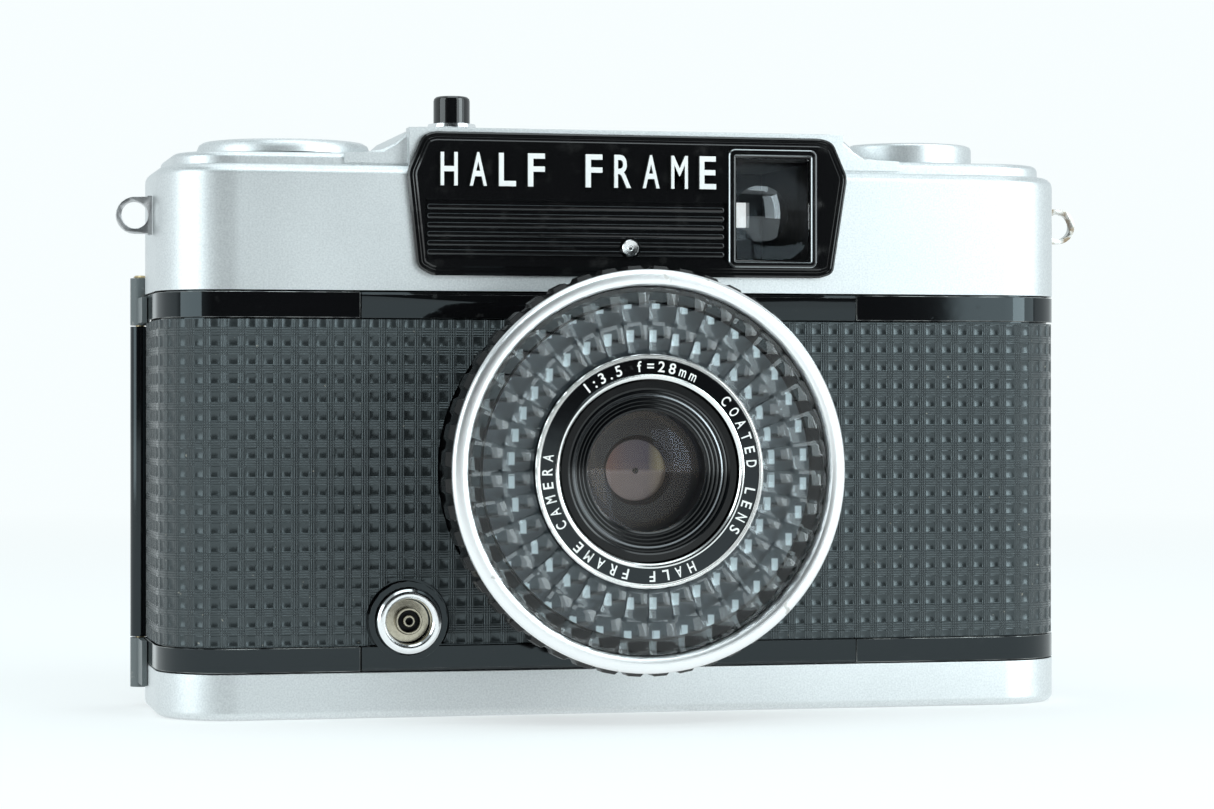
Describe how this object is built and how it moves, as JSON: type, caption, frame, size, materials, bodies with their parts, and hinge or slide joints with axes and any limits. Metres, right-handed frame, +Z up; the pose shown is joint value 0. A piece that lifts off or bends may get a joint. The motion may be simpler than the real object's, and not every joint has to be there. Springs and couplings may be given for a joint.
{
  "type": "half frame camera",
  "caption": "Compact viewfinder camera for half-frame pictures on 35 mm film, with a ring-shaped light cell round its lens, satin metal covers and black leatherette.",
  "frame": {"origin": "middle of the flat underside of the bottom cover", "axes": "+X to the right of someone facing the lens, +Y from the lens to the back, +Z up"},
  "size_m": [0.1208, 0.0482, 0.0741],
  "materials": {
    "satin_chrome": "fine bead-blasted satin chrome plating",
    "polished_chrome": "bright polished chrome plating",
    "black_enamel": "gloss black baked enamel",
    "black_plastic": "gloss black moulded plastic",
    "leatherette": "black embossed leatherette with square pips",
    "cast_alloy": "die-cast alloy, black enamelled where it shows",
    "matt_black": "matt black anti-reflection finish",
    "steel": "plain turned or stamped steel",
    "brass": "plain brass",
    "glass": "coated optical glass",
    "clear_plastic": "clear moulded acrylic",
    "selenium": "dark grey selenium cell",
    "dial_print": "white printed dial",
    "blade_steel": "blackened thin spring steel"
  },
  "bodies": {
    "camera_body": {"base_screw_1": "steel", "base_screw_2": "steel", "base_screw_3": "steel", "body_casting": "cast_alloy", "bottom_cover": "satin_chrome", "button_collar": "polished_chrome", "cell_window": "clear_plastic", "counter_bezel": "satin_chrome", "counter_window": "clear_plastic", "eyepiece_frame": "black_plastic", "finder_eyepiece": "glass", "finder_objective": "glass", "finder_tunnel": "matt_black", "finder_window": "glass", "front_element": "glass", "front_panel": "black_enamel", "hinge_knuckle_bottom": "black_enamel", "hinge_knuckle_top": "black_enamel", "hinge_pin": "brass", "hot_shoe": "polished_chrome", "hot_shoe_contact": "brass", "index_dot": "polished_chrome", "leather_left": "leatherette", "leather_right": "leatherette", "lens_barrel": "matt_black", "middle_element": "glass", "name_ring": "black_enamel", "nameplate": "black_plastic", "rear_element": "glass", "rim_ring": "polished_chrome", "selenium_cell": "selenium", "shutter_housing": "black_enamel", "shutter_plate": "matt_black", "strap_lug_left": "polished_chrome", "strap_lug_right": "polished_chrome", "sync_socket_core": "brass", "sync_socket_shell": "polished_chrome", "top_cover": "satin_chrome", "tripod_socket": "steel"},
    "aperture_ring": {"aperture_ring": "black_plastic"},
    "shutter_button": {"shutter_button": "black_enamel"},
    "rewind_lift": {"rewind_sleeve": "steel"},
    "rewind_knob": {"rewind_knob": "satin_chrome", "rewind_fork": "steel"},
    "rewind_crank": {"rewind_crank": "satin_chrome", "crank_handle": "black_plastic"},
    "film_advance": {"advance_wheel": "black_plastic", "take_up_spool": "black_plastic"},
    "film_sprocket": {"film_sprocket": "steel"},
    "counter_dial": {"counter_dial": "dial_print"},
    "back": {"back_cover": "black_enamel", "back_leather": "leatherette", "pressure_spring": "steel"},
    "pressure_plate": {"pressure_plate": "matt_black"},
    "back_latch": {"back_latch": "satin_chrome"},
    "rewind_release": {"rewind_release_button": "steel"},
    "shutter_blade_upper": {"shutter_blade_upper": "blade_steel"},
    "shutter_blade_lower": {"shutter_blade_lower": "blade_steel"},
    "aperture_blade_upper": {"aperture_blade_upper": "blade_steel"},
    "aperture_blade_lower": {"aperture_blade_lower": "blade_steel"}
  },
  "joints": [
    {"name": "aperture_ring_turn", "type": "hinge", "parent": "camera_body", "child": "aperture_ring", "pos_m": [-0.00241, -0.03, 0.02933], "axis": [0, -1, 0], "range_deg": [0, 140]},
    {"name": "shutter_button_press", "type": "slide", "parent": "camera_body", "child": "shutter_button", "axis": [0, 0, -1], "range_m": [0, 0.002], "stiffness_N_per_m": 400, "springref_m": -0.003},
    {"name": "rewind_lift_slide", "type": "slide", "parent": "camera_body", "child": "rewind_lift", "axis": [0, 0, 1], "range_m": [0, 0.006]},
    {"name": "rewind_turn", "type": "hinge", "parent": "rewind_lift", "child": "rewind_knob", "pos_m": [0.03865, 0.00035, 0.068], "axis": [0, 0, 1], "continuous": true},
    {"name": "rewind_crank_fold", "type": "hinge", "parent": "rewind_knob", "child": "rewind_crank", "pos_m": [0.03365, 0.00035, 0.0689], "axis": [0, -1, 0], "range_deg": [0, 150]},
    {"name": "film_advance_turn", "type": "hinge", "parent": "camera_body", "child": "film_advance", "pos_m": [-0.04015, 0.002, 0.054], "axis": [0, 0, 1], "continuous": true},
    {"name": "film_sprocket_turn", "type": "hinge", "parent": "camera_body", "child": "film_sprocket", "pos_m": [-0.021, 0.00265, 0.029], "axis": [0, 0, 1], "continuous": true},
    {"name": "counter_dial_turn", "type": "hinge", "parent": "camera_body", "child": "counter_dial", "pos_m": [-0.04015, 0, 0.067], "axis": [0, 0, 1], "continuous": true},
    {"name": "back_open", "type": "hinge", "parent": "camera_body", "child": "back", "pos_m": [-0.0563, 0.012, 0.028], "axis": [0, 0, 1], "range_deg": [0, 150]},
    {"name": "pressure_plate_press", "type": "slide", "parent": "back", "child": "pressure_plate", "axis": [0, 1, 0], "range_m": [0, 0.0005], "stiffness_N_per_m": 600, "springref_m": -0.001},
    {"name": "back_latch_slide", "type": "slide", "parent": "camera_body", "child": "back_latch", "axis": [0, 0, -1], "range_m": [0, 0.004], "stiffness_N_per_m": 150, "springref_m": -0.003},
    {"name": "rewind_release_press", "type": "slide", "parent": "camera_body", "child": "rewind_release", "axis": [0, 0, 1], "range_m": [0, 0.0015], "stiffness_N_per_m": 300, "springref_m": -0.002},
    {"name": "shutter_upper_swing", "type": "hinge", "parent": "camera_body", "child": "shutter_blade_upper", "pos_m": [-0.01491, -0.0246, 0.03283], "axis": [0, -1, 0], "range_deg": [0, 35], "stiffness_Nm_per_rad": 0.0002, "springref_deg": -28.65},
    {"name": "shutter_lower_swing", "type": "hinge", "parent": "camera_body", "child": "shutter_blade_lower", "pos_m": [-0.01491, -0.0243, 0.02583], "axis": [0, -1, 0], "range_deg": [-35, 0]},
    {"name": "aperture_upper_swing", "type": "hinge", "parent": "camera_body", "child": "aperture_blade_upper", "pos_m": [0.01009, -0.024, 0.03283], "axis": [0, -1, 0], "range_deg": [0, 24]},
    {"name": "aperture_lower_swing", "type": "hinge", "parent": "camera_body", "child": "aperture_blade_lower", "pos_m": [0.01009, -0.0237, 0.02583], "axis": [0, -1, 0], "range_deg": [-24, 0]}
  ],
  "couplings": [
    {"joint": "film_sprocket_turn", "follows": "film_advance_turn", "ratio": 1.3},
    {"joint": "counter_dial_turn", "follows": "film_advance_turn", "ratio": -0.03},
    {"joint": "shutter_lower_swing", "follows": "shutter_upper_swing", "ratio": -1},
    {"joint": "aperture_upper_swing", "follows": "aperture_ring_turn", "ratio": 0.17},
    {"joint": "aperture_lower_swing", "follows": "aperture_ring_turn", "ratio": -0.17}
  ]
}
